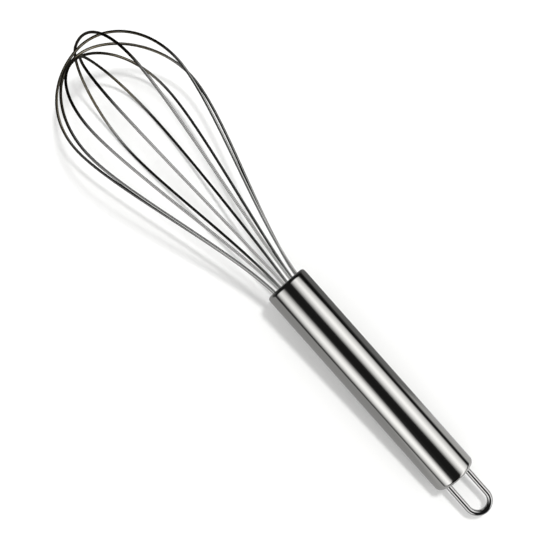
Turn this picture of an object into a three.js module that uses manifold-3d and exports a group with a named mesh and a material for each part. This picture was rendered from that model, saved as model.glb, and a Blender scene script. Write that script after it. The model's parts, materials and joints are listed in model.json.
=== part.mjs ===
// Balloon whisk with a round steel tube handle, five sprung wire loops and a fixed hanging loop.
// Millimetres, +Z up. It lies on its side on z = 0, handle towards -X and wire cage towards +X.
import * as THREE from 'three';
import { mergeVertices } from 'three/addons/utils/BufferGeometryUtils.js';
import Module from 'manifold-3d';

// Driving dimensions, measured in the whisk's own frame: +X is its axis, x = 0 is the handle's mouth.
const handleDiameter = 22.7;
const handleLength = 124.7;
const handleWall = 0.9;
const mouthRollRadius = 1.7; // outside of the edge rolled in at the mouth
const rearRollRadius = 2.2; // and at the rear end
const wireDiameter = 1.4;
const cageRadius = 34.9; // axis to the middle of the wire at the widest place
const cageWidestAt = 114; // from the mouth
const tipReach = 153.4; // from the mouth to the outermost loop, where it crosses the axis
const guideLength = 14;
const ferruleLength = 8.4;
const ferruleWall = 1.65; // with the bore, it sets how far out the ten legs lie
const tailOverhang = 1.2; // leg tails and spreader behind the ferrule
const pottingLength = 12;
const capFlangeThickness = 2;
const hangerWireDiameter = 3;
const hangerEdge = 1.65; // from the side of each leg to the rolled lip's hole
const hangerReach = 23.45; // from the rear face to the outside of the bend
const hangerTailLength = 12; // length of each leg inside the handle
const anchorLength = 9;
const anchorWidth = 8;

// Named clearances.
const gap = 0.3; // between faces that touch on the real whisk
const lipClearance = 0.35; // between the wires and the rolled lip round them
const lipFlat = 0.3; // least flat rim left between the lip's hole and the rolled edge
const tipClearance = 0.1; // between two loops where they cross at the tip

// Shape of one loop leg: a double curve from the mouth to the widest place, then a round shoulder.
const mouthAngle = 5.6; // degrees, how far a leg leans out as it leaves the mouth
const neckPull = 33;
const swellPull = 25;
const shoulderPull = 22.5;
const tipPull = 17.7;

// Each loop: roll about the axis in degrees, place in the stack at the tip (0 is outermost), extra
// drop below its neighbour, lean of each widest place towards the tip, sideways shift of the loop,
// and how far each leg bows out of the loop's plane. Drop, lean, shift and bows are in millimetres.
const loops = [
  { name: 'wire_loop_1', roll: 116, place: 0, drop: 0, leans: [8, -8], shift: 0.5, bows: [0.9, -0.5] },
  { name: 'wire_loop_2', roll: 161.4, place: 1, drop: 0, leans: [-1, 4.5], shift: -0.8, bows: [-0.4, -0.6] },
  { name: 'wire_loop_3', roll: 207.2, place: 2, drop: 1.1, leans: [-5, -5], shift: 2, bows: [-2.9, -0.3] },
  { name: 'wire_loop_4', roll: 235.9, place: 3, drop: 1.1, leans: [0.9, -0.9], shift: 0, bows: [-2.2, -0.9] },
  { name: 'wire_loop_5', roll: 263.1, place: 4, drop: 1.1, leans: [1, -1], shift: 0.1, bows: [-2.5, 0] },
];

// Facets.
const roundSides = 48;
const channelSides = 12;
const wireSides = 8;
const wireStep = 3.8; // along a wire, so that a longer wire stays as smooth at the tip
const hangerSides = 16;
const hangerSteps = 44;
const arcSteps = 4;

// Sizes that follow from the ones above.
const handleRadius = handleDiameter / 2;
const boreRadius = handleRadius - handleWall;
const wireRadius = wireDiameter / 2;
const wireRingRadius = boreRadius - gap - ferruleWall - gap - wireRadius; // middle of the legs
const lipRadius = wireRingRadius + wireRadius + lipClearance;
const bossRadius = lipRadius - gap;
const plugRadius = boreRadius - gap;
const channelRadius = wireRadius + gap;
const hangerWireRadius = hangerWireDiameter / 2;
const mouthEdgeRadius = Math.min(mouthRollRadius, handleRadius - lipRadius - lipFlat);
const rearLipRadius = handleRadius - rearRollRadius;
const hangerHalfWidth = rearLipRadius - hangerEdge - hangerWireRadius; // axis to middle of a leg
const guideFlange = mouthEdgeRadius + gap; // from the mouth to where the guide takes its full width
const capFlange = rearRollRadius + gap; // and from the rear face for the cap
const clampFront = -guideLength - gap;
const ferruleRear = clampFront - ferruleLength;
const tailRear = ferruleRear - tailOverhang;
const sharpest = 0.1; // smallest inside radius the rolled edge is given
const tau = 2 * Math.PI;

const steel = { color: 0xc9cbcc, roughness: 0.12, metalness: 1 };
const springWire = { color: 0xb9bbbb, roughness: 0.16, metalness: 1 };
const plainSteel = { color: 0x9da0a2, roughness: 0.35, metalness: 1 };
const nylon = { color: 0x26282a, roughness: 0.5, metalness: 0 };
const resin = { color: 0xb9a67a, roughness: 0.45, metalness: 0 };

const wasm = await Module();
wasm.setup();

// Closed three.js geometry to a manifold solid, and back.
function toSolid(geometry) {
  const bare = new THREE.BufferGeometry();
  bare.setAttribute('position', geometry.getAttribute('position'));
  bare.setIndex(geometry.getIndex());
  const merged = mergeVertices(bare, 1e-4);
  const vertProperties = new Float32Array(merged.getAttribute('position').array);
  const triVerts = new Uint32Array(merged.getIndex().array);
  return new wasm.Manifold(new wasm.Mesh({ numProp: 3, vertProperties, triVerts }));
}

function toGeometry(solid) {
  const mesh = solid.getMesh();
  const geometry = new THREE.BufferGeometry();
  geometry.setAttribute('position', new THREE.BufferAttribute(new Float32Array(mesh.vertProperties), 3));
  geometry.setIndex(new THREE.BufferAttribute(new Uint32Array(mesh.triVerts), 1));
  geometry.computeVertexNormals();
  return geometry;
}

// A quarter round in a profile, from one angle to another about a centre at (radius, x).
function arc(centreRadius, centreX, radius, from, to) {
  return Array.from({ length: arcSteps + 1 }, (_, i) => {
    const angle = from + ((to - from) * i) / arcSteps;
    return [centreRadius + radius * Math.cos(angle), centreX + radius * Math.sin(angle)];
  });
}

// A profile of [radius, x] pairs turned about the X axis.
function turned(profile) {
  const points = profile.map(([radius, x]) => new THREE.Vector2(radius, x));
  return new THREE.LatheGeometry(points, roundSides).rotateZ(-Math.PI / 2);
}

// A solid round bar on the X axis, from its rear face to its front face.
function bar(radius, rearX, frontX) {
  return turned([[0, rearX], [radius, rearX], [radius, frontX], [0, frontX]]);
}

// A straight cutter or rod along X through (y, z).
function rod(radius, rearX, frontX, y, z, sides) {
  const geometry = new THREE.CylinderGeometry(radius, radius, frontX - rearX, sides);
  return geometry.rotateZ(-Math.PI / 2).translate((rearX + frontX) / 2, y, z);
}

// A round wire swept along a path.
function wire(path, radius, sides, steps) {
  const section = new THREE.Shape(
    Array.from({ length: sides }, (_, i) => {
      const angle = (i * tau) / sides;
      return new THREE.Vector2(radius * Math.cos(angle), radius * Math.sin(angle));
    }),
  );
  return new THREE.ExtrudeGeometry(section, { steps, extrudePath: path, curveSegments: 1 });
}

// A whole number of steps along a wire loop.
function stepsAlong(path) {
  return Math.ceil(path.getLength() / wireStep);
}

// A loop's reach from the mouth: each place in the stack sits one wire and one clearance lower.
function reachOf(loop) {
  return tipReach - loop.place * (wireDiameter + tipClearance) - loop.drop;
}

// One leg of a loop as curves from its tail in the handle to the point where it crosses the axis.
function legCurves(loop, side) {
  const angle = THREE.MathUtils.degToRad(loop.roll + 180 * side);
  const sign = side === 0 ? 1 : -1;
  const bow = loop.bows[side];
  const widestX = cageWidestAt + loop.leans[side];
  const widestRadius = cageRadius + sign * loop.shift;
  const reach = reachOf(loop);
  const lean = THREE.MathUtils.degToRad(mouthAngle);
  const at = (x, radius, side_) =>
    new THREE.Vector3(
      x,
      radius * Math.cos(angle) - side_ * Math.sin(angle),
      radius * Math.sin(angle) + side_ * Math.cos(angle),
    );
  const mouth = at(0, wireRingRadius, 0);
  const widest = at(widestX, widestRadius, (bow * 2) / 3);
  const tail = new THREE.LineCurve3(at(tailRear, wireRingRadius, 0), mouth);
  const neck = new THREE.CubicBezierCurve3(
    mouth,
    at(neckPull * Math.cos(lean), wireRingRadius + neckPull * Math.sin(lean), bow),
    at(widestX - swellPull, widestRadius, bow),
    widest,
  );
  const shoulder = new THREE.CubicBezierCurve3(
    widest,
    at(widestX + shoulderPull, widestRadius, bow / 3),
    at(reach, tipPull, 0),
    at(reach, 0, 0),
  );
  return [tail, neck, shoulder];
}

function reversed(curve) {
  return curve.isLineCurve3
    ? new THREE.LineCurve3(curve.v2, curve.v1)
    : new THREE.CubicBezierCurve3(curve.v3, curve.v2, curve.v1, curve.v0);
}

function loopPath(loop) {
  const path = new THREE.CurvePath();
  path.curves = [...legCurves(loop, 0), ...legCurves(loop, 1).reverse().map(reversed)];
  return path;
}

// The steel tube, its edge rolled in at both ends to a short flat lip.
function handleTube() {
  const quarter = Math.PI / 2;
  const insideOf = (radius) => Math.max(radius - handleWall, sharpest);
  const frontInner = insideOf(mouthEdgeRadius);
  const rearInner = insideOf(rearRollRadius);
  const profile = [
    ...arc(rearLipRadius, rearRollRadius - handleLength, rearRollRadius, -quarter, 0),
    ...arc(handleRadius - mouthEdgeRadius, -mouthEdgeRadius, mouthEdgeRadius, 0, quarter),
    [lipRadius, 0],
    [lipRadius, -handleWall],
    ...arc(boreRadius - frontInner, -handleWall - frontInner, frontInner, quarter, 0),
    ...arc(boreRadius - rearInner, rearInner + handleWall - handleLength, rearInner, 0, -quarter),
  ];
  return turned([...profile, profile[0]]);
}

// Moulded guide that fills the mouth and spaces the ten legs in channels round its rim.
function wireGuide() {
  const profile = [
    [0, -guideLength],
    [plugRadius, -guideLength],
    [plugRadius, -guideFlange],
    [bossRadius, -guideFlange],
    [bossRadius, -gap],
    [0, -gap],
  ];
  let solid = toSolid(turned(profile));
  for (const loop of loops) {
    for (const side of [0, 1]) {
      const angle = THREE.MathUtils.degToRad(loop.roll + 180 * side);
      const y = wireRingRadius * Math.cos(angle);
      const z = wireRingRadius * Math.sin(angle);
      solid = solid.subtract(toSolid(rod(channelRadius, -guideLength - 1, 1, y, z, channelSides)));
    }
  }
  return toGeometry(solid);
}

// Round core that holds the leg tails apart, and the ring crimped over them.
function wireSpreader() {
  return bar(wireRingRadius - wireRadius - gap, tailRear, clampFront);
}

function wireFerrule() {
  const innerRadius = wireRingRadius + wireRadius + gap;
  const outerRadius = innerRadius + ferruleWall;
  return turned([
    [innerRadius, ferruleRear],
    [outerRadius, ferruleRear],
    [outerRadius, clampFront],
    [innerRadius, clampFront],
    [innerRadius, ferruleRear],
  ]);
}

// Resin plug cast behind the clamp, which keeps water out of the handle.
function mouthPotting() {
  const front = tailRear - gap;
  return bar(plugRadius, front - pottingLength, front);
}

// Steel disc in the handle's rear end, with a flange behind the rolled lip and two holes.
function rearCap() {
  const rear = -handleLength;
  const seat = rear + capFlange;
  const profile = [
    [0, rear],
    [rearLipRadius - gap, rear],
    [rearLipRadius - gap, seat],
    [plugRadius, seat],
    [plugRadius, seat + capFlangeThickness],
    [0, seat + capFlangeThickness],
  ];
  let solid = toSolid(turned(profile));
  const front = seat + capFlangeThickness + 1;
  for (const y of [-hangerHalfWidth, hangerHalfWidth]) {
    solid = solid.subtract(toSolid(rod(hangerWireRadius + gap, rear - 1, front, y, 0, hangerSides)));
  }
  return toGeometry(solid);
}

// Steel block inside the handle that the two legs of the hanging loop are brazed into.
function loopAnchor() {
  const rear = -handleLength + capFlange + capFlangeThickness + gap;
  const front = rear + anchorLength;
  const halfWidth = anchorWidth / 2;
  const slab = new THREE.BoxGeometry(anchorLength, 2 * plugRadius, anchorWidth);
  slab.translate((rear + front) / 2, 0, 0);
  const round = toSolid(bar(Math.hypot(hangerHalfWidth + hangerWireRadius, halfWidth), rear, front));
  let solid = toSolid(slab).intersect(round);
  for (const y of [-hangerHalfWidth, hangerHalfWidth]) {
    solid = solid.subtract(toSolid(rod(hangerWireRadius + gap, rear - 1, front + 1, y, 0, hangerSides)));
  }
  return toGeometry(solid);
}

// Bent wire loop, two straight legs and a half-round end.
function hangingLoop() {
  const bendRadius = hangerHalfWidth;
  const bendX = -handleLength - hangerReach + hangerWireRadius + bendRadius;
  const tailX = -handleLength + hangerTailLength;
  const round = (4 / 3) * Math.tan(Math.PI / 8) * bendRadius; // quarter-circle handle length
  const at = (x, y) => new THREE.Vector3(x, y, 0);
  const path = new THREE.CurvePath();
  path.curves = [
    new THREE.LineCurve3(at(tailX, bendRadius), at(bendX, bendRadius)),
    new THREE.CubicBezierCurve3(
      at(bendX, bendRadius),
      at(bendX - round, bendRadius),
      at(bendX - bendRadius, round),
      at(bendX - bendRadius, 0),
    ),
    new THREE.CubicBezierCurve3(
      at(bendX - bendRadius, 0),
      at(bendX - bendRadius, -round),
      at(bendX - round, -bendRadius),
      at(bendX, -bendRadius),
    ),
    new THREE.LineCurve3(at(bendX, -bendRadius), at(tailX, -bendRadius)),
  ];
  return wire(path, hangerWireRadius, hangerSides, hangerSteps);
}

// How the whisk lies: it rolls and tips until two neighbouring legs and the handle's rear edge
// all touch the table. Works on the middle of the wire and on the round of the rear edge.
function restingTurn() {
  const legs = [
    { loop: loops[0], side: 1 },
    { loop: loops[4], side: 0 },
  ].map(({ loop, side }) => legCurves(loop, side).flatMap((curve) => curve.getPoints(60)));
  const rim = Array.from({ length: 360 }, (_, i) => {
    const angle = (i * tau) / 360;
    return new THREE.Vector3(
      rearRollRadius - handleLength,
      rearLipRadius * Math.cos(angle),
      rearLipRadius * Math.sin(angle),
    );
  });
  let roll = 0;
  let pitch = 0;
  let height = 0;
  const turn = new THREE.Quaternion();
  const lowest = (points, radius) => {
    const turnedPoints = points.map((point) => point.clone().applyQuaternion(turn));
    const low = turnedPoints.reduce((best, point) => (point.z < best.z ? point : best));
    return low.setZ(low.z - radius);
  };
  for (let pass = 0; pass < 40; pass += 1) {
    const aboutX = new THREE.Quaternion().setFromAxisAngle(new THREE.Vector3(1, 0, 0), roll);
    turn.setFromAxisAngle(new THREE.Vector3(0, 1, 0), pitch).multiply(aboutX);
    const [left, right] = legs.map((points) => lowest(points, wireRadius));
    const rear = lowest(rim, rearRollRadius);
    roll -= Math.atan2(left.z - right.z, left.y - right.y);
    pitch += Math.atan2((left.z + right.z) / 2 - rear.z, (left.x + right.x) / 2 - rear.x);
    height = -Math.min(left.z, right.z, rear.z);
  }
  return { turn, height };
}

const group = new THREE.Group();
const whisk = new THREE.Group();
group.add(whisk);

function add(name, geometry, finish) {
  const mesh = new THREE.Mesh(geometry, new THREE.MeshStandardMaterial(finish));
  mesh.name = name;
  whisk.add(mesh);
}

add('handle_tube', handleTube(), steel);
for (const loop of loops) {
  const path = loopPath(loop);
  add(loop.name, wire(path, wireRadius, wireSides, stepsAlong(path)), springWire);
}
add('wire_guide', wireGuide(), nylon);
add('wire_spreader', wireSpreader(), plainSteel);
add('wire_ferrule', wireFerrule(), plainSteel);
add('mouth_potting', mouthPotting(), resin);
add('rear_cap', rearCap(), steel);
add('loop_anchor', loopAnchor(), plainSteel);
add('hanging_loop', hangingLoop(), steel);

const { turn, height } = restingTurn();
whisk.quaternion.copy(turn);
whisk.position.z = height;
group.updateMatrixWorld(true);
const box = new THREE.Box3().setFromObject(group, true);
whisk.position.x -= (box.min.x + box.max.x) / 2;
whisk.position.y -= (box.min.y + box.max.y) / 2;
whisk.position.z -= box.min.z;
group.updateMatrixWorld(true);

export default group;
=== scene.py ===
import json
import math

import bmesh
import bpy
from mathutils import Matrix, Vector


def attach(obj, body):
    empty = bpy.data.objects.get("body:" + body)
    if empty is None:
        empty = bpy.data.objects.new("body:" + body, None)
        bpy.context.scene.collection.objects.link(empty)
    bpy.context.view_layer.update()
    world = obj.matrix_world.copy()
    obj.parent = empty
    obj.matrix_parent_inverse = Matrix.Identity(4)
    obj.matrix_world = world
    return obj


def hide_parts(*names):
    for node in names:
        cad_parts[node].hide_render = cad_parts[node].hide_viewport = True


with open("model.json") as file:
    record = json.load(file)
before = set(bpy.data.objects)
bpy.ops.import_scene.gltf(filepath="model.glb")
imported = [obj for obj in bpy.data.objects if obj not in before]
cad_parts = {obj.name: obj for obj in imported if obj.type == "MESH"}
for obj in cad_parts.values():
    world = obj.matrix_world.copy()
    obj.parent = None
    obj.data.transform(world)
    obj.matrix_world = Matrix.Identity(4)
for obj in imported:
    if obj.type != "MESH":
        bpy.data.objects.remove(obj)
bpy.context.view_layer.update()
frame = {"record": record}        # the imported record
mm = 0.001               # sizes are in mm and angles in degrees unless a note says otherwise


# The whisk's own frame: x runs from the handle's mouth to the tip, z faces the camera.
def mount(name):
    return next(m for m in frame["record"]["mounts"] if m["name"] == name)


handle = {
    "diameter": 22.7,
    "length": 124.7,
    "wall": 0.9,
    "mouthRoll": 1.7,        # outside of the edge rolled in at the mouth
    "rearRoll": 2.2,         # and at the rear end
    "mouthHole": 8.55,       # radius of the hole left in the mouth's lip
    "lipChamfer": 0.1125,
    "aroundSteps": 240,
    "edgeSteps": 16,
    "lengthSteps": 24,
    "supportLoop": 0.05,     # keeps the shading straight up to each bend
}
towardsTip = -Vector(mount("rear_face")["axis"]).normalized()
towardsFace = Vector(mount("hanging_eye")["axis"]).normalized()
towardsSide = towardsFace.cross(towardsTip)
whiskFrame = Matrix((towardsTip, towardsSide, towardsFace)).transposed().to_4x4()
whiskFrame.translation = Vector(mount("rear_face")["pos_m"]) + towardsTip * handle["length"] * mm


def inWhisk(x, y, z):    # mm in the whisk's frame to metres in the scene
    return whiskFrame @ (Vector((x, y, z)) * mm)


camera = {
    "distance": 485,         # mm from the whisk's axis
    "lookAt": (6.3, 1.0),    # mm along and across the whisk
    "sensor": 36,
    "pictureWidth": 266.75,  # mm across the picture at that distance
    "turn": 41.53,           # degrees from the whisk's axis to the picture's upright
}


def addCamera():
    turn = math.radians(camera["turn"])
    right = -towardsTip * math.sin(turn) - towardsSide * math.cos(turn)
    up = towardsTip * math.cos(turn) - towardsSide * math.sin(turn)
    data = bpy.data.cameras.new("camera")
    data.sensor_width = camera["sensor"]
    data.lens = camera["sensor"] * camera["distance"] / camera["pictureWidth"]
    data.clip_start = 0.01
    data.dof.use_dof = False
    item = bpy.data.objects.new("camera", data)
    bpy.context.scene.collection.objects.link(item)
    place = Matrix((right, up, towardsFace)).transposed().to_4x4()
    place.translation = inWhisk(*camera["lookAt"], camera["distance"])
    item.matrix_world = place
    bpy.context.scene.camera = item


addCamera()
print("camera placed")


def linear(hexColour):    # sRGB hex to the linear colour that Blender wants
    parts = [int(hexColour[i:i + 2], 16) / 255 for i in (1, 3, 5)]
    return [c / 12.92 if c <= 0.04045 else ((c + 0.055) / 1.055) ** 2.4 for c in parts] + [1]


def addNode(tree, kind, settings=None, links=None):
    node = tree.nodes.new(kind)
    for name, value in (settings or {}).items():
        if name == "stops":    # a ramp's list of (place, colour)
            ramp = node.color_ramp
            while len(ramp.elements) < len(value):
                ramp.elements.new(1)
            for element, (place, colour) in zip(ramp.elements, value):
                element.position, element.color = place, colour
        elif isinstance(name, int) or name in node.inputs:
            node.inputs[name].default_value = value
        else:
            setattr(node, name, value)
    for name, socket in (links or {}).items():
        tree.links.new(socket, node.inputs[name])
    return node


def whiskCoordinates(tree):    # metres in the whisk's own frame, so that grain follows its axis
    here = addNode(tree, "ShaderNodeTexCoord").outputs["Object"]
    aligned = addNode(tree, "ShaderNodeMapping",
                      {"vector_type": "TEXTURE", "Location": whiskFrame.translation,
                       "Rotation": whiskFrame.to_euler()}, {"Vector": here})
    return aligned.outputs[0]


def newMaterial(name):    # an empty node tree and its output
    material = bpy.data.materials.new(name)
    material.use_nodes = True
    material.node_tree.nodes.clear()
    output = addNode(material.node_tree, "ShaderNodeOutputMaterial")
    return material, material.node_tree, output


studio = {
    "distance": 0.8,          # m from the whisk's axis to the middle of each softbox
    "angle": 50,              # degrees down from the camera's side
    "width": 1.2,             # m across each softbox
    "keyPower": 7.1,          # W
    "keySize": 0.16,          # m
    "keyDistance": 1.3,       # m
    "keyHeight": 77,          # degrees above the table
    "keyTurn": 11,            # degrees towards the tip
    "ambient": 0.84,          # how bright the pale surround is
    "ceiling": 0.013,         # how dark the room above is
    "horizon": 0.1,           # share of the table's brightness left far away
    "lightUpTo": -0.012,      # m, the light part of the table ends about here under the whisk
    # Beside the mouth it ends further on: m aside where that starts and is full, and m further.
    "besideMouth": (0.01, 0.016, 0.03),
    "floorSize": 12,          # m
    "floorColour": "#f6f6f5",
    "tableBelow": 0.001,      # m, the shaded copy of the table lies this far under the floor
    "ceilingHeight": 3,       # m
    "surround": "#ffffff",
}
brightest = 1.6    # the brightness that a ramp's white stands for
# Each softbox: its side of the whisk, its dark and fully bright places towards the tip and the rear in
# m from the mouth, its brightness from the upper edge to the lower as a share of the width, and how it
# narrows: the lower half towards the tip and the upper half towards the rear, from a place in m and by
# a share for each m.
softboxes = [
    {"name": "softbox_left", "side": 1, "frontEnd": (0.4, -0.2), "rearEnd": (-0.95, -0.75),
     "glow": [(0.09, 0.02), (0.19, 0.4), (0.26, 0.78), (0.32, 1.06), (0.38, 1.3), (0.5, 1.55),
              (0.64, 1.14), (0.71, 0.82), (0.79, 0.46), (0.85, 0.12), (0.89, 0.03), (0.97, 0.02)],
     "lowerNarrowing": (-0.1, 2.2), "upperNarrowing": (-0.2, 2.5)},
    {"name": "softbox_right", "side": -1, "frontEnd": (0.6, -0.15), "rearEnd": (-3.4, -2),
     "glow": [(0.09, 0.02), (0.19, 0.43), (0.26, 0.76), (0.32, 0.98), (0.44, 1.42), (0.505, 1.52),
              (0.57, 1.38), (0.64, 1.17), (0.71, 1.03), (0.79, 0.88), (0.87, 0.6), (0.94, 0.12),
              (0.97, 0.03)],
     "lowerNarrowing": (-0.08, 4), "upperNarrowing": (-0.6, 0)},
]
# What the steel sees of the table, left and right of the whisk: light under the handle, dark under
# the cage. Each side fades out with distance, and has its brightness along the whisk, in mm.
tableSides = [
    {"fade": (0.2, 0.8),
     "glow": [(-160, 0.5), (-135, 0.45), (-118, 0.36), (-100, 0.34), (-8, 0.34), (8, 0.06)]},
    {"fade": (0.08, 0.25),
     "glow": [(-160, 0.7), (-135, 0.55), (-100, 0.5), (-85, 0.2), (-10, 0.15), (5, 0.06)]},
]


def grey(value):
    return [value / brightest] * 3 + [1]


def addSheet(name, lengthX, lengthY, place, material):    # a flat rectangle facing its own +Z
    mesh = bpy.data.meshes.new(name)
    x, y = lengthX / 2, lengthY / 2
    corners = [place @ Vector(corner) for corner in ((-x, -y, 0), (x, -y, 0), (x, y, 0), (-x, y, 0))]
    mesh.from_pydata(corners, [], [(0, 1, 2, 3)])
    mesh.materials.append(material)
    item = bpy.data.objects.new(name, mesh)
    bpy.context.scene.collection.objects.link(item)
    return item


def forSteelOnly(sheet):    # reflected, but neither seen nor lighting the table
    sheet.visible_camera = False
    sheet.visible_diffuse = False
    sheet.visible_shadow = False


def softboxGlow(softbox, down):
    material, tree, output = newMaterial(softbox["name"])
    here = whiskCoordinates(tree)
    along = addNode(tree, "ShaderNodeSeparateXYZ", links={0: here}).outputs["X"]
    across = addNode(tree, "ShaderNodeVectorMath",
                     {"operation": "DOT_PRODUCT", 1: Vector(down) / studio["width"]}, {0: here})
    share = addNode(tree, "ShaderNodeValue")
    share.outputs[0].default_value = 0.5    # the middle of the softbox
    for kept, name, way in (("MAXIMUM", "lowerNarrowing", 1), ("MINIMUM", "upperNarrowing", -1)):
        start, slope = softbox[name]
        narrower = addNode(tree, "ShaderNodeMapRange",
                           {"From Min": start, "From Max": start + way,
                            "To Min": 1, "To Max": 1 + slope}, {"Value": along})
        half = addNode(tree, "ShaderNodeMath", {"operation": kept, 1: 0}, {0: across.outputs["Value"]})
        share = addNode(tree, "ShaderNodeMath", {"operation": "MULTIPLY_ADD"},
                        {0: half.outputs[0], 1: narrower.outputs[0], 2: share.outputs[0]})
    glow = addNode(tree, "ShaderNodeValToRGB",
                   {"stops": [(place, grey(value)) for place, value in softbox["glow"]]},
                   {0: share.outputs[0]})
    ends = [addNode(tree, "ShaderNodeMapRange",
                    {"interpolation_type": "SMOOTHSTEP", "From Min": dark, "From Max": full,
                     "To Max": strength}, {"Value": along})
            for (dark, full), strength in ((softbox["frontEnd"], 1), (softbox["rearEnd"], brightest))]
    lengthwise = addNode(tree, "ShaderNodeMath", {"operation": "MULTIPLY"},
                         {0: ends[0].outputs[0], 1: ends[1].outputs[0]})
    shine = addNode(tree, "ShaderNodeEmission",
                    links={"Color": glow.outputs[0], "Strength": lengthwise.outputs[0]})
    tree.links.new(shine.outputs[0], output.inputs["Surface"])
    return material


def addSoftbox(softbox):
    side, angle = softbox["side"], math.radians(studio["angle"])
    front, rear = softbox["frontEnd"][0], softbox["rearEnd"][0]
    outward = towardsSide * side * math.sin(angle) + towardsFace * math.cos(angle)
    down = towardsSide * side * math.cos(angle) - towardsFace * math.sin(angle)
    place = Matrix((outward.cross(down), down, -outward)).transposed().to_4x4()
    place.translation = inWhisk((front + rear) / 2 / mm, 0, 0) + outward * studio["distance"]
    downInWhisk = (0, side * math.cos(angle), -math.sin(angle))
    forSteelOnly(addSheet(softbox["name"], front - rear, studio["width"], place,
                          softboxGlow(softbox, downInWhisk)))


def addKey():
    data = bpy.data.lights.new("key", "AREA")
    data.shape = "DISK"
    data.size = studio["keySize"]
    data.energy = studio["keyPower"]
    item = bpy.data.objects.new("key", data)
    bpy.context.scene.collection.objects.link(item)
    height, turn = math.radians(studio["keyHeight"]), math.radians(studio["keyTurn"])
    level = Vector((math.sin(turn), -math.cos(turn), 0)) * math.cos(height)
    towardsKey = level + Vector((0, 0, math.sin(height)))
    item.matrix_world = towardsKey.to_track_quat("Z", "Y").to_matrix().to_4x4()
    item.location = towardsKey * studio["keyDistance"]
    item.visible_glossy = False
    item.visible_camera = False


def tableGlow():
    material, tree, output = newMaterial("shaded table")
    axes = addNode(tree, "ShaderNodeSeparateXYZ", links={0: whiskCoordinates(tree)})
    x, y = axes.outputs["X"], axes.outputs["Y"]
    away = addNode(tree, "ShaderNodeMath", {"operation": "ABSOLUTE"}, {0: y}).outputs[0]
    start, end, further = studio["besideMouth"]
    beside = addNode(tree, "ShaderNodeMapRange",
                     {"interpolation_type": "SMOOTHSTEP", "From Min": start, "From Max": end,
                      "To Max": further}, {"Value": away})
    shifted = addNode(tree, "ShaderNodeMath", {"operation": "SUBTRACT"}, {0: x, 1: beside.outputs[0]})
    lit = addNode(tree, "ShaderNodeMath", {"operation": "MINIMUM", 1: studio["lightUpTo"]}, {0: x})
    forward = addNode(tree, "ShaderNodeMath", {"operation": "MAXIMUM"},
                      {0: shifted.outputs[0], 1: lit.outputs[0]})
    seen = []
    for half in tableSides:
        rear, front = half["glow"][0][0], half["glow"][-1][0]
        share = addNode(tree, "ShaderNodeMapRange", {"From Min": rear * mm, "From Max": front * mm},
                        {"Value": forward.outputs[0]})
        glow = addNode(tree, "ShaderNodeValToRGB",
                       {"stops": [((place - rear) / (front - rear), grey(value))
                                  for place, value in half["glow"]]},
                       {0: share.outputs[0]})
        full, dark = half["fade"]
        near = addNode(tree, "ShaderNodeMapRange",
                       {"interpolation_type": "SMOOTHSTEP", "From Min": dark, "From Max": full,
                        "To Min": studio["horizon"]}, {"Value": away})
        seen.append(addNode(tree, "ShaderNodeMath", {"operation": "MULTIPLY"},
                            {0: glow.outputs[0], 1: near.outputs[0]}))
    left = addNode(tree, "ShaderNodeMath", {"operation": "GREATER_THAN", 1: 0}, {0: y})
    both = addNode(tree, "ShaderNodeMix",
                   links={0: left.outputs[0], 2: seen[1].outputs[0], 3: seen[0].outputs[0]})
    shine = addNode(tree, "ShaderNodeEmission", {"Strength": brightest}, {"Color": both.outputs[0]})
    tree.links.new(shine.outputs[0], output.inputs["Surface"])
    return material


def ceilingGlow():
    material, tree, output = newMaterial("dark ceiling")
    shine = addNode(tree, "ShaderNodeEmission", {"Strength": studio["ceiling"]})
    tree.links.new(shine.outputs[0], output.inputs["Surface"])
    return material


def addTable():    # white paper for the camera, with a shaded copy and a dark room for the steel
    material, tree, output = newMaterial("matt white paper")
    paper = addNode(tree, "ShaderNodeBsdfDiffuse", {"Color": linear(studio["floorColour"])})
    tree.links.new(paper.outputs[0], output.inputs["Surface"])
    size = studio["floorSize"]
    floor = addSheet("floor", size, size, Matrix.Identity(4), material)
    floor.visible_glossy = False
    below = Matrix.Translation((0, 0, -studio["tableBelow"]))
    above = Matrix.Translation((0, 0, studio["ceilingHeight"]))
    forSteelOnly(addSheet("shaded_table", size, size, below, tableGlow()))
    forSteelOnly(addSheet("ceiling", size, size, above, ceilingGlow()))


def addSurround():    # pale for the camera and the paper, unseen by the steel
    world = bpy.data.worlds.new("studio")
    world.use_nodes = True
    background = world.node_tree.nodes["Background"]
    background.inputs["Color"].default_value = linear(studio["surround"])
    background.inputs["Strength"].default_value = studio["ambient"]
    world.cycles_visibility.glossy = False
    bpy.context.scene.world = world
    bpy.context.scene.view_settings.view_transform = "Standard"


for softbox in softboxes:
    addSoftbox(softbox)
addKey()
addTable()
addSurround()
print("studio lit")


sharpOver = 35    # degrees, an edge that bends more than this stays sharp


def addPiece(name, bm, material, slot, *nodes):
    bm.transform(whiskFrame)
    bmesh.ops.recalc_face_normals(bm, faces=bm.faces)
    for face in bm.faces:
        face.smooth = True
    for edge in bm.edges:
        edge.smooth = not edge.is_manifold or edge.calc_face_angle(0) < math.radians(sharpOver)
    mesh = bpy.data.meshes.new(name)
    bm.to_mesh(mesh)
    bm.free()
    mesh.materials.append(material)
    piece = bpy.data.objects.new(name, mesh)
    bpy.context.scene.collection.objects.link(piece)
    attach(piece, "root")
    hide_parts(*nodes)
    return piece


def ringOf(bm, points):
    return [bm.verts.new(point) for point in points]


def bridge(bm, one, two):
    for i in range(len(one)):
        bm.faces.new((one[i - 1], one[i], two[i], two[i - 1]))


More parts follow.
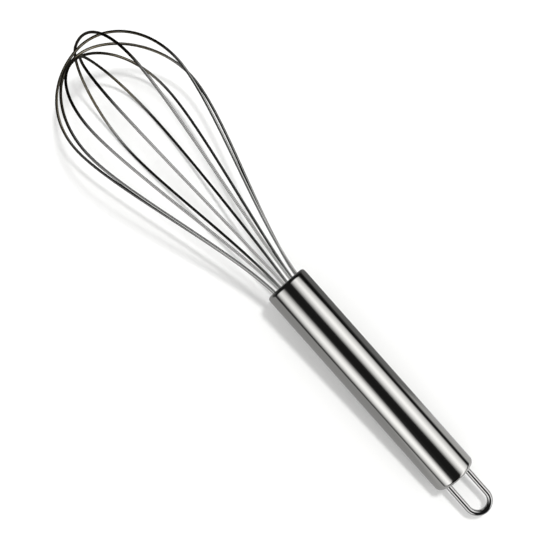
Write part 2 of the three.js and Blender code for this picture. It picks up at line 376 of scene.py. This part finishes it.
def turned(bm, profile, steps, closed=False):    # (radius, x) pairs in mm, turned about x
    turns = [2 * math.pi * i / steps for i in range(steps)]
    rings = [ringOf(bm, [Vector((x, radius * math.cos(a), radius * math.sin(a))) * mm for a in turns])
             for radius, x in profile]
    for one, two in zip(rings, rings[1:] + rings[:1] if closed else rings[1:]):
        bridge(bm, one, two)
    if not closed:
        bm.faces.new(rings[0])
        bm.faces.new(rings[-1])


def arc(centreRadius, centreX, radius, start, end, steps):
    turns = [math.radians(start + (end - start) * i / steps) for i in range(steps + 1)]
    return [(centreRadius + radius * math.cos(a), centreX + radius * math.sin(a)) for a in turns]


def bezier(points, steps):    # a cubic curve without its last point
    a, b, c, d = points
    shares = [i / steps for i in range(steps)]
    return [a * (1 - t) ** 3 + b * 3 * t * (1 - t) ** 2 + c * 3 * t * t * (1 - t) + d * t ** 3
            for t in shares]


def swept(bm, path, radius, sides):    # a round wire along points in mm, flat at both ends
    tangents = [(b - a).normalized() for a, b in zip(path[:1] + path[:-1], path[1:] + path[-1:])]
    outward = tangents[0].orthogonal().normalized()
    turns = [2 * math.pi * i / sides for i in range(sides)]
    rings = []
    for point, tangent in zip(path, tangents):
        outward = (outward - tangent * outward.dot(tangent)).normalized()
        across = tangent.cross(outward)
        rings.append(ringOf(bm, [(point + (outward * math.cos(a) + across * math.sin(a)) * radius) * mm
                                 for a in turns]))
    for one, two in zip(rings, rings[1:]):
        bridge(bm, one, two)
    bm.faces.new(rings[0])
    bm.faces.new(rings[-1])


noiseSpan = {"From Min": 0.3, "From Max": 0.7}    # where most of a noise texture's values lie


def noiseTints(dark, light):    # a ramp's two stops, just inside that span
    return [(0.35, linear(dark)), (0.65, linear(light))]


def polishedTube():
    # Stainless tube buffed along its length: a near mirror with faint lengthwise hairlines.
    look = {
        "colour": "#d1d0cd",
        "hairWidth": 0.24,       # mm, buffing lines, drawn wide enough to show
        "hairStretch": 0.006,    # width to length of a line
        "waveWidth": 3.8,        # mm, slight unevenness left by the buffing wheel
        "waveStretch": 0.08,
        "roughness": (0.07, 0.13),
        "hairDepth": 0.01,       # mm
        "waveDepth": 0.03,
        "relief": 0.1,
    }
    material, tree, output = newMaterial("buffed stainless steel")
    here = whiskCoordinates(tree)
    stretched = addNode(tree, "ShaderNodeMapping", {"Scale": (look["hairStretch"], 1, 1)},
                        {"Vector": here})
    hairs = addNode(tree, "ShaderNodeTexNoise", {"Scale": 1 / (look["hairWidth"] * mm), "Detail": 3},
                    {"Vector": stretched.outputs[0]})
    drawn = addNode(tree, "ShaderNodeMapping", {"Scale": (look["waveStretch"], 1, 1)},
                    {"Vector": here})
    waves = addNode(tree, "ShaderNodeTexNoise", {"Scale": 1 / (look["waveWidth"] * mm), "Detail": 1},
                    {"Vector": drawn.outputs[0]})
    smooth, rough = look["roughness"]
    roughness = addNode(tree, "ShaderNodeMapRange", {**noiseSpan, "To Min": smooth, "To Max": rough},
                        {"Value": hairs.outputs[0]})
    fine = addNode(tree, "ShaderNodeBump",
                   {"Strength": look["relief"], "Distance": look["hairDepth"] * mm},
                   {"Height": hairs.outputs[0]})
    bump = addNode(tree, "ShaderNodeBump",
                   {"Strength": look["relief"], "Distance": look["waveDepth"] * mm},
                   {"Height": waves.outputs[0], "Normal": fine.outputs[0]})
    steel = addNode(tree, "ShaderNodeBsdfPrincipled",
                    {"Base Color": linear(look["colour"]), "Metallic": 1},
                    {"Roughness": roughness.outputs[0], "Normal": bump.outputs[0]})
    tree.links.new(steel.outputs[0], output.inputs["Surface"])
    return material


def springWire():
    # Hard drawn spring wire: bright near the handle, with painted shade towards the tip that darkens its
    # colour to brown in blotches.
    look = {
        "bright": "#d2d2d0",
        "paintedTipShade": "#766d57",
        "shadeFrom": 112,         # mm from the mouth, where the painted shade starts
        "shadeFull": 128,
        "shadeLeast": 0.75,       # how much of the painted shade is left between the blotches
        "blotch": 5.5,           # mm
        "roughness": (0.12, 0.2),
    }
    material, tree, output = newMaterial("drawn spring steel wire")
    here = whiskCoordinates(tree)
    axes = addNode(tree, "ShaderNodeSeparateXYZ", links={0: here})
    blotches = addNode(tree, "ShaderNodeTexNoise", {"Scale": 1 / (look["blotch"] * mm), "Detail": 3},
                       {"Vector": here})
    # painted shade: the wire's colour is darkened towards the tip, where the wires look dark
    tipward = addNode(tree, "ShaderNodeMapRange",
                      {"interpolation_type": "SMOOTHSTEP", "From Min": look["shadeFrom"] * mm,
                       "From Max": look["shadeFull"] * mm}, {"Value": axes.outputs["X"]})
    paintedTipShade = addNode(tree, "ShaderNodeMapRange", {**noiseSpan, "To Min": look["shadeLeast"]},
                   {"Value": blotches.outputs[0]})
    # how much painted shade each place gets
    shadeAmount = addNode(tree, "ShaderNodeMath", {"operation": "MULTIPLY"},
                   {0: tipward.outputs[0], 1: paintedTipShade.outputs[0]})
    colour = addNode(tree, "ShaderNodeMix",
                     {"data_type": "RGBA", 6: linear(look["bright"]), 7: linear(look["paintedTipShade"])},
                     {0: shadeAmount.outputs[0]})
    smooth, rough = look["roughness"]
    roughness = addNode(tree, "ShaderNodeMapRange", {**noiseSpan, "To Min": smooth, "To Max": rough},
                        {"Value": blotches.outputs[0]})
    steel = addNode(tree, "ShaderNodeBsdfPrincipled", {"Metallic": 1},
                    {"Base Color": colour.outputs[2], "Roughness": roughness.outputs[0]})
    tree.links.new(steel.outputs[0], output.inputs["Surface"])
    return material


def turnedSteel():
    # Faced on a lathe: fine rings round the axis that catch the light as a soft fan.
    look = {
        "colour": "#b9babb",
        "feed": 0.25,            # mm from one ring to the next
        "depth": 0.01,           # mm
        "relief": 0.25,
        "roughness": 0.24,
    }
    material, tree, output = newMaterial("turned stainless steel")
    here = whiskCoordinates(tree)
    flat = addNode(tree, "ShaderNodeVectorMath", {"operation": "MULTIPLY", 1: (0, 1, 1)}, {0: here})
    radius = addNode(tree, "ShaderNodeVectorMath", {"operation": "LENGTH"}, {0: flat.outputs[0]})
    turns = addNode(tree, "ShaderNodeMath",
                    {"operation": "MULTIPLY", 1: 2 * math.pi / (look["feed"] * mm)},
                    {0: radius.outputs["Value"]})
    cut = addNode(tree, "ShaderNodeMath", {"operation": "SINE"}, {0: turns.outputs[0]})
    bump = addNode(tree, "ShaderNodeBump",
                   {"Strength": look["relief"], "Distance": look["depth"] * mm},
                   {"Height": cut.outputs[0]})
    steel = addNode(tree, "ShaderNodeBsdfPrincipled",
                    {"Base Color": linear(look["colour"]), "Metallic": 1,
                     "Roughness": look["roughness"]},
                    {"Normal": bump.outputs[0]})
    tree.links.new(steel.outputs[0], output.inputs["Surface"])
    return material


def grained(look):    # a surface whose colour, gloss and relief all follow one grain
    material, tree, output = newMaterial(look["name"])
    here = whiskCoordinates(tree)
    stretched = addNode(tree, "ShaderNodeMapping", {"Scale": look["stretch"]}, {"Vector": here})
    grain = addNode(tree, "ShaderNodeTexNoise", {"Scale": 1 / (look["grain"] * mm), "Detail": 3},
                    {"Vector": stretched.outputs[0]})
    colour = addNode(tree, "ShaderNodeValToRGB", {"stops": noiseTints(*look["colours"])},
                     {0: grain.outputs[0]})
    smooth, rough = look["roughness"]
    roughness = addNode(tree, "ShaderNodeMapRange", {**noiseSpan, "To Min": smooth, "To Max": rough},
                        {"Value": grain.outputs[0]})
    bump = addNode(tree, "ShaderNodeBump",
                   {"Strength": look["relief"], "Distance": look["depth"] * mm},
                   {"Height": grain.outputs[0]})
    shader = addNode(tree, "ShaderNodeBsdfPrincipled", look["shader"],
                     {"Base Color": colour.outputs[0], "Roughness": roughness.outputs[0],
                      "Normal": bump.outputs[0]})
    tree.links.new(shader.outputs[0], output.inputs["Surface"])
    return material


def castResin():
    # Epoxy poured in and left to set: glossy amber, cloudy in places, with small bubbles.
    look = {
        "colours": ("#a88748", "#c9b17c"),
        "cloud": 4.5,            # mm
        "bubbleSpacing": 1.4,    # mm
        "bubbleShare": 0.22,     # of the spacing
        "bubbleDepth": 0.08,     # mm
        "bubbleRelief": 0.4,
        "roughness": 0.16,
        "ior": 1.55,
    }
    material, tree, output = newMaterial("cast epoxy resin")
    here = whiskCoordinates(tree)
    clouds = addNode(tree, "ShaderNodeTexNoise", {"Scale": 1 / (look["cloud"] * mm), "Detail": 4},
                     {"Vector": here})
    colour = addNode(tree, "ShaderNodeValToRGB", {"stops": noiseTints(*look["colours"])},
                     {0: clouds.outputs[0]})
    cells = addNode(tree, "ShaderNodeTexVoronoi", {"Scale": 1 / (look["bubbleSpacing"] * mm)},
                    {"Vector": here})
    bubbles = addNode(tree, "ShaderNodeMapRange", {"From Max": look["bubbleShare"]},
                      {"Value": cells.outputs["Distance"]})
    bump = addNode(tree, "ShaderNodeBump",
                   {"Strength": look["bubbleRelief"], "Distance": look["bubbleDepth"] * mm},
                   {"Height": bubbles.outputs[0]})
    resin = addNode(tree, "ShaderNodeBsdfPrincipled",
                    {"Roughness": look["roughness"], "IOR": look["ior"]},
                    {"Base Color": colour.outputs[0], "Normal": bump.outputs[0]})
    tree.links.new(resin.outputs[0], output.inputs["Surface"])
    return material


# Grain and depth in mm, stretch along x, y and z of the whisk.
grains = {
    # Thick bright drawn wire, tumbled after bending: mirror smooth with a faint haze.
    "hanger": {"name": "bright drawn steel wire", "colours": ("#c8c8c7", "#d0d0cf"), "grain": 1.1,
               "stretch": (1, 1, 1), "roughness": (0.05, 0.09), "relief": 0.12, "depth": 0.02,
               "shader": {"Metallic": 1}},
    # Mild steel pressed into grooves: dull, with marks round it from the tool.
    "crimped": {"name": "crimped mild steel", "colours": ("#77777a", "#a3a4a5"), "grain": 0.6,
                "stretch": (1, 0.15, 0.15), "roughness": (0.26, 0.44), "relief": 0.3, "depth": 0.02,
                "shader": {"Metallic": 1}},
    # Mild steel bar, milled along the whisk: straight tool marks under a film of oil.
    "milled": {"name": "milled mild steel", "colours": ("#77777a", "#a3a4a5"), "grain": 0.7,
               "stretch": (0.1, 1, 1), "roughness": (0.26, 0.44), "relief": 0.3, "depth": 0.02,
               "shader": {"Metallic": 1}},
    # Silver braze as it froze: slightly yellow against the steel, with a soft orange peel.
    "braze": {"name": "silver braze", "colours": ("#c9bfa6", "#d3cbb4"), "grain": 0.65,
              "stretch": (1, 1, 1), "roughness": (0.18, 0.26), "relief": 0.35, "depth": 0.04,
              "shader": {"Metallic": 1}},
    # Injection moulded nylon: near black, satin, with the even grain of its mould.
    "nylon": {"name": "moulded nylon", "colours": ("#1d1f21", "#242628"), "grain": 0.4,
              "stretch": (1, 1, 1), "roughness": (0.4, 0.5), "relief": 0.3, "depth": 0.03,
              "shader": {"Metallic": 0, "IOR": 1.53}},
}
finish = {name: grained(look) for name, look in grains.items()}
finish.update({"tube": polishedTube(), "wire": springWire(), "turned": turnedSteel(),
               "resin": castResin()})
print("finishes mixed")


def straight(radius, startX, endX, steps):    # rings along a straight wall, just inside its ends
    inner = handle["supportLoop"] * (1 if endX > startX else -1)
    run = endX - startX - 2 * inner
    return [(radius, startX + inner + run * i / steps) for i in range(steps + 1)]


def addHandle():
    radius, rear, wall = handle["diameter"] / 2, -handle["length"], handle["wall"]
    mouthRoll, rearRoll, steps = handle["mouthRoll"], handle["rearRoll"], handle["edgeSteps"]
    hole, bore = handle["mouthHole"], radius - wall
    mouthInner, rearInner = mouthRoll - wall, rearRoll - wall    # inside of each rolled edge
    profile = arc(radius - rearRoll, rear + rearRoll, rearRoll, -90, 0, steps)
    profile += straight(radius, rear + rearRoll, -mouthRoll, handle["lengthSteps"])
    profile += arc(radius - mouthRoll, -mouthRoll, mouthRoll, 0, 90, steps)
    profile += [(hole + handle["lipChamfer"], 0), (hole, -handle["lipChamfer"]), (hole, -wall)]
    profile += arc(bore - mouthInner, -mouthRoll, mouthInner, 90, 0, steps)
    profile += straight(bore, -mouthRoll, rear + rearRoll, handle["lengthSteps"])
    profile += arc(bore - rearInner, rear + rearRoll, rearInner, 0, -90, steps)
    bm = bmesh.new()
    turned(bm, profile, handle["aroundSteps"], closed=True)
    addPiece("buffed_handle_tube", bm, finish["tube"], "polished_steel", "handle_tube")


addHandle()
print("handle made")


cage = {
    "wireDiameter": 1.4,
    "ringRadius": 7.5,       # axis to the middle of each leg in the mouth
    "radius": 34.9,          # axis to the middle of the wire at the widest place
    "widestAt": 114,         # from the mouth
    "tipReach": 153.4,
    "tipClearance": 0.1,
    "tailRear": -23.9,
    "mouthAngle": 5.6,       # how far a leg leans out as it leaves the mouth
    "neckPull": 33,          # each pull is the length of one handle of a leg's two curves
    "swellPull": 25,
    "shoulderPull": 22.5,
    "tipPull": 17.7,
    "sides": 24,
    "tailSteps": 24,         # rings along each straight tail
    "steps": 90,             # rings along each curve
    "bendSoftening": 3,      # how often the bend at the mouth is evened out
}
# Each loop: roll in degrees, drop at the tip, lean of each leg's widest place, sideways shift of the
# loop, bow of each leg.
loops = [
    {"roll": 116, "drop": 0, "leans": (8, -8), "shift": 0.5, "bows": (0.9, -0.5)},
    {"roll": 161.4, "drop": 0, "leans": (-1, 4.5), "shift": -0.8, "bows": (-0.4, -0.6)},
    {"roll": 207.2, "drop": 1.1, "leans": (-5, -5), "shift": 2, "bows": (-2.9, -0.3)},
    {"roll": 235.9, "drop": 1.1, "leans": (0.9, -0.9), "shift": 0, "bows": (-2.2, -0.9)},
    {"roll": 263.1, "drop": 1.1, "leans": (1, -1), "shift": 0.1, "bows": (-2.5, 0)},
]


def legPath(loop, place, side):    # from the tail in the handle to the crossing at the tip
    angle = math.radians(loop["roll"] + 180 * side)
    sign, bow, lean = 1 - 2 * side, loop["bows"][side], math.radians(cage["mouthAngle"])
    widestX = cage["widestAt"] + loop["leans"][side]
    widest = cage["radius"] + sign * loop["shift"]
    reach = cage["tipReach"] - place * (cage["wireDiameter"] + cage["tipClearance"]) - loop["drop"]
    outward = Vector((0, math.cos(angle), math.sin(angle)))
    across = Vector((0, -math.sin(angle), math.cos(angle)))

    def at(x, radius, aside):
        return Vector((x, 0, 0)) + outward * radius + across * aside

    neckX, neck = cage["neckPull"] * math.cos(lean), cage["neckPull"] * math.sin(lean)
    ring, pull, steps = cage["ringRadius"], cage["shoulderPull"], cage["tailSteps"]
    tail, mouthPoint = at(cage["tailRear"], ring, 0), at(0, ring, 0)
    turnPoint, tip = at(widestX, widest, bow * 2 / 3), at(reach, 0, 0)    # the bow fades towards the tip
    path = [tail.lerp(mouthPoint, i / steps) for i in range(steps)]
    path += bezier((mouthPoint, at(neckX, ring + neck, bow),
                    at(widestX - cage["swellPull"], widest, bow), turnPoint), cage["steps"])
    path += bezier((turnPoint, at(widestX + pull, widest, bow / 3),
                    at(reach, cage["tipPull"], 0), tip), cage["steps"])
    return path, tip


def addLoop(number, loop):
    there, tip = legPath(loop, number, 0)
    back, _ = legPath(loop, number, 1)
    path = there + [tip] + back[::-1]
    for _ in range(cage["bendSoftening"]):
        inside = [(a + b * 2 + c) / 4 for a, b, c in zip(path, path[1:], path[2:])]
        path = path[:1] + inside + path[-1:]
    bm = bmesh.new()
    swept(bm, path, cage["wireDiameter"] / 2, cage["sides"])
    node = f"wire_loop_{number + 1}"
    addPiece(f"drawn_{node}", bm, finish["wire"], "spring_wire", node)


for number, loop in enumerate(loops):
    addLoop(number, loop)
print("wire cage made")


guide = {
    "frontX": -0.3,
    "flangeX": -2,
    "rearX": -14,
    "bossRadius": 8.25,
    "plugRadius": 10.15,
    "channelRadius": 1.0,    # a channel for each leg
    "channelSides": 24,
    "edgeRound": 0.25,
    "edgeSteps": 4,
    "aroundSteps": 180,
}
cutterPast = 1    # mm that a cutter stands out of what it cuts


def cutWith(piece, cutter):
    bpy.context.scene.collection.objects.link(cutter)
    cut = piece.modifiers.new("cut", "BOOLEAN")
    cut.object, cut.operation, cut.solver = cutter, "DIFFERENCE", "EXACT"
    evaluated = piece.evaluated_get(bpy.context.evaluated_depsgraph_get())
    shaped = bpy.data.meshes.new_from_object(evaluated)
    piece.modifiers.clear()
    piece.data = shaped
    bpy.data.objects.remove(cutter)


def rods(name, radius, rearX, frontX, centres, sides):    # straight cutters along x
    bm = bmesh.new()
    for y, z in centres:
        swept(bm, [Vector((rearX - cutterPast, y, z)), Vector((frontX + cutterPast, y, z))],
              radius, sides)
    bm.transform(whiskFrame)
    bmesh.ops.recalc_face_normals(bm, faces=bm.faces)
    mesh = bpy.data.meshes.new(name)
    bm.to_mesh(mesh)
    bm.free()
    return bpy.data.objects.new(name, mesh)


def addGuide():
    edge = guide["edgeRound"]
    profile = [(guide["plugRadius"], guide["rearX"]), (guide["plugRadius"], guide["flangeX"]),
               (guide["bossRadius"], guide["flangeX"])]
    profile += arc(guide["bossRadius"] - edge, guide["frontX"] - edge, edge, 0, 90,
                   guide["edgeSteps"])
    bm = bmesh.new()
    turned(bm, profile, guide["aroundSteps"])
    piece = addPiece("moulded_wire_guide", bm, finish["nylon"], "guide_plastic", "wire_guide")
    rolls = [math.radians(loop["roll"] + 180 * side) for loop in loops for side in (0, 1)]
    ring = cage["ringRadius"]
    centres = [(ring * math.cos(a), ring * math.sin(a)) for a in rolls]
    cutWith(piece, rods("channels", guide["channelRadius"], guide["rearX"], guide["frontX"], centres,
                        guide["channelSides"]))


clamp = {
    "frontX": -14.3,
    "ferruleRearX": -22.7,
    "tailX": -23.9,
    "spreaderRadius": 6.5,
    "spreaderChamfer": 0.6,
    "centreRadius": 1.2,     # centre drilling in both ends of the spreader
    "centreDepth": 1.1,
    "centreTip": 0.05,       # radius of the flat at its bottom
    "ferruleBore": 8.5,
    "ferruleRadius": 10.15,
    "ferruleRound": 0.3,
    "roundSteps": 4,
    "crimps": 3,             # grooves pressed round the ferrule
    "crimpDepth": 0.35,
    "crimpSteps": 12,        # rings across each groove
    "aroundSteps": 160,
}
potting = {
    "radius": 10.15,
    "frontX": -24.2,
    "rearX": -36.2,
    "meniscus": 1.1,         # how far the rear face dips below its rim
    "rimRound": 0.4,
    "rimSteps": 5,
    "faceSteps": 14,
    "aroundSteps": 160,
}


def addSpreader():
    radius, chamfer = clamp["spreaderRadius"], clamp["spreaderChamfer"]
    hole, depth, tip = clamp["centreRadius"], clamp["centreDepth"], clamp["centreTip"]
    rear, front = clamp["tailX"], clamp["frontX"]
    profile = [(tip, rear + depth), (hole, rear), (radius - chamfer, rear), (radius, rear + chamfer)]
    profile += [(radius, front - chamfer), (radius - chamfer, front), (hole, front),
                (tip, front - depth)]
    bm = bmesh.new()
    turned(bm, profile, clamp["aroundSteps"])
    addPiece("turned_wire_spreader", bm, finish["turned"], "plain_steel", "wire_spreader")


def addFerrule():
    bore, radius, edge = clamp["ferruleBore"], clamp["ferruleRadius"], clamp["ferruleRound"]
    rear, front, roundSteps = clamp["ferruleRearX"], clamp["frontX"], clamp["roundSteps"]
    steps = clamp["crimps"] * clamp["crimpSteps"]
    run = front - rear - 2 * edge
    profile = [(bore, rear + edge / 2), (bore + edge / 2, rear)]
    profile += arc(radius - edge, rear + edge, edge, -90, 0, roundSteps)
    for i in range(1, steps):
        dip = (1 - math.cos(2 * math.pi * i / clamp["crimpSteps"])) / 2 * clamp["crimpDepth"]
        profile.append((radius - dip, rear + edge + run * i / steps))
    profile += arc(radius - edge, front - edge, edge, 0, 90, roundSteps)
    profile += [(bore + edge / 2, front), (bore, front - edge / 2)]
    bm = bmesh.new()
    turned(bm, profile, clamp["aroundSteps"], closed=True)
    addPiece("crimped_wire_ferrule", bm, finish["crimped"], "plain_steel", "wire_ferrule")


def addPotting():
    radius, rear, edge = potting["radius"], potting["rearX"], potting["rimRound"]
    flat = radius - 2 * edge
    shares = [(i + 1) / potting["faceSteps"] for i in range(potting["faceSteps"])]
    profile = [(flat * share, rear + potting["meniscus"] * (1 - share ** 4)) for share in shares]
    profile += arc(radius - edge, rear + edge, edge, -90, 0, potting["rimSteps"])
    profile += arc(radius - edge, potting["frontX"] - edge, edge, 0, 90, potting["rimSteps"])
    bm = bmesh.new()
    turned(bm, profile, potting["aroundSteps"])
    addPiece("cast_mouth_potting", bm, finish["resin"], "potting_resin", "mouth_potting")


addGuide()
addSpreader()
addFerrule()
addPotting()
print("mouth made")


hanger = {
    "wireDiameter": 3,
    "halfWidth": 6,          # axis to the middle of each leg
    "bendX": -140.65,        # centre of the round end
    "tailX": -112.7,
    "sides": 40,
    "bendSteps": 64,
    "legSteps": 30,
    "brazeReach": 0.8,       # size of the braze fillet round each leg at the cap
    "brazeSink": 0.05,       # how far it reaches into the leg
    "brazeGap": 0.01,        # and stays off the cap's face
    "brazeSteps": 8,
}
rearCap = {
    "rearX": -124.7,
    "seatX": -122.2,
    "frontX": -120.2,
    "faceRadius": 8.85,
    "flangeRadius": 10.15,
    "holeRadius": 1.8,
    "holeSides": 40,
    "edgeRound": 0.3,
    "edgeSteps": 4,
    "aroundSteps": 180,
}
anchor = {
    "rearX": -119.9,
    "frontX": -110.9,
    "radius": 8.5,           # axis to its round ends
    "thickness": 8,
    "edgeBevel": 0.35,
    "bevelSteps": 3,
    "bevelOver": 30,         # edges sharper than this are bevelled
    "endSteps": 20,
}


def drillForLegs(piece, rearX, frontX):    # two holes for the hanging loop
    half = hanger["halfWidth"]
    cutWith(piece, rods("holes", rearCap["holeRadius"], rearX, frontX, [(-half, 0), (half, 0)],
                        rearCap["holeSides"]))


def addRearCap():
    edge, face = rearCap["edgeRound"], rearCap["faceRadius"]
    profile = arc(face - edge, rearCap["rearX"] + edge, edge, -90, 0, rearCap["edgeSteps"])
    profile += [(face, rearCap["seatX"]), (rearCap["flangeRadius"], rearCap["seatX"]),
                (rearCap["flangeRadius"], rearCap["frontX"])]
    bm = bmesh.new()
    turned(bm, profile, rearCap["aroundSteps"])
    piece = addPiece("turned_rear_cap", bm, finish["turned"], "polished_steel", "rear_cap")
    drillForLegs(piece, rearCap["rearX"], rearCap["frontX"])


def addHangingLoop():
    half, bendX, steps = hanger["halfWidth"], hanger["bendX"], hanger["legSteps"]
    legs = [hanger["tailX"] + (bendX - hanger["tailX"]) * i / steps for i in range(steps)]
    turns = [math.pi * i / hanger["bendSteps"] for i in range(hanger["bendSteps"] + 1)]
    path = [Vector((x, half, 0)) for x in legs]
    path += [Vector((bendX - half * math.sin(a), half * math.cos(a), 0)) for a in turns]
    path += [Vector((x, -half, 0)) for x in reversed(legs)]
    bm = bmesh.new()
    swept(bm, path, hanger["wireDiameter"] / 2, hanger["sides"])
    addPiece("bright_hanging_loop", bm, finish["hanger"], "hanger_steel", "hanging_loop")


def addBraze():    # silver braze drawn up each leg and out over the cap, in a hollow curve
    leg, reach, rear = hanger["wireDiameter"] / 2, hanger["brazeReach"], rearCap["rearX"]
    foot = rear - hanger["brazeGap"]
    profile = [(leg - hanger["brazeSink"], foot)]
    profile += arc(leg + reach, rear - reach, -reach, 0, -90, hanger["brazeSteps"])
    profile[-1] = (leg + reach, foot)
    bm = bmesh.new()
    for y in (-hanger["halfWidth"], hanger["halfWidth"]):
        fillet = bmesh.new()
        turned(fillet, profile, hanger["sides"], closed=True)
        fillet.transform(Matrix.Translation((0, y * mm, 0)))
        ring = bpy.data.meshes.new("fillet")
        fillet.to_mesh(ring)
        bm.from_mesh(ring)
        fillet.free()
        bpy.data.meshes.remove(ring)
    addPiece("silver_braze_fillets", bm, finish["braze"], "hanger_steel")


def addAnchor():    # a flat bar with turned ends, its edges broken, drilled for the two legs
    radius, half = anchor["radius"], anchor["thickness"] / 2
    reach, steps = math.asin(half / radius), anchor["endSteps"]
    turns = [-reach + 2 * reach * i / steps for i in range(steps + 1)]
    outline = [Vector((0, radius * math.cos(a), radius * math.sin(a))) for a in turns]
    outline += [Vector((0, -point.y, -point.z)) for point in outline]
    bm = bmesh.new()
    ends = [ringOf(bm, [(point + Vector((x, 0, 0))) * mm for point in outline])
            for x in (anchor["rearX"], anchor["frontX"])]
    bridge(bm, *ends)
    for end in ends:
        bm.faces.new(end)
    bmesh.ops.recalc_face_normals(bm, faces=bm.faces)
    bevelOver = math.radians(anchor["bevelOver"])
    sharp = [edge for edge in bm.edges if edge.calc_face_angle(0) > bevelOver]
    bmesh.ops.bevel(bm, geom=sharp, offset=anchor["edgeBevel"] * mm, segments=anchor["bevelSteps"],
                    profile=0.5, affect="EDGES")
    piece = addPiece("milled_loop_anchor", bm, finish["milled"], "plain_steel", "loop_anchor")
    drillForLegs(piece, anchor["rearX"], anchor["frontX"])


addRearCap()
addHangingLoop()
addBraze()
addAnchor()
print("rear end made")
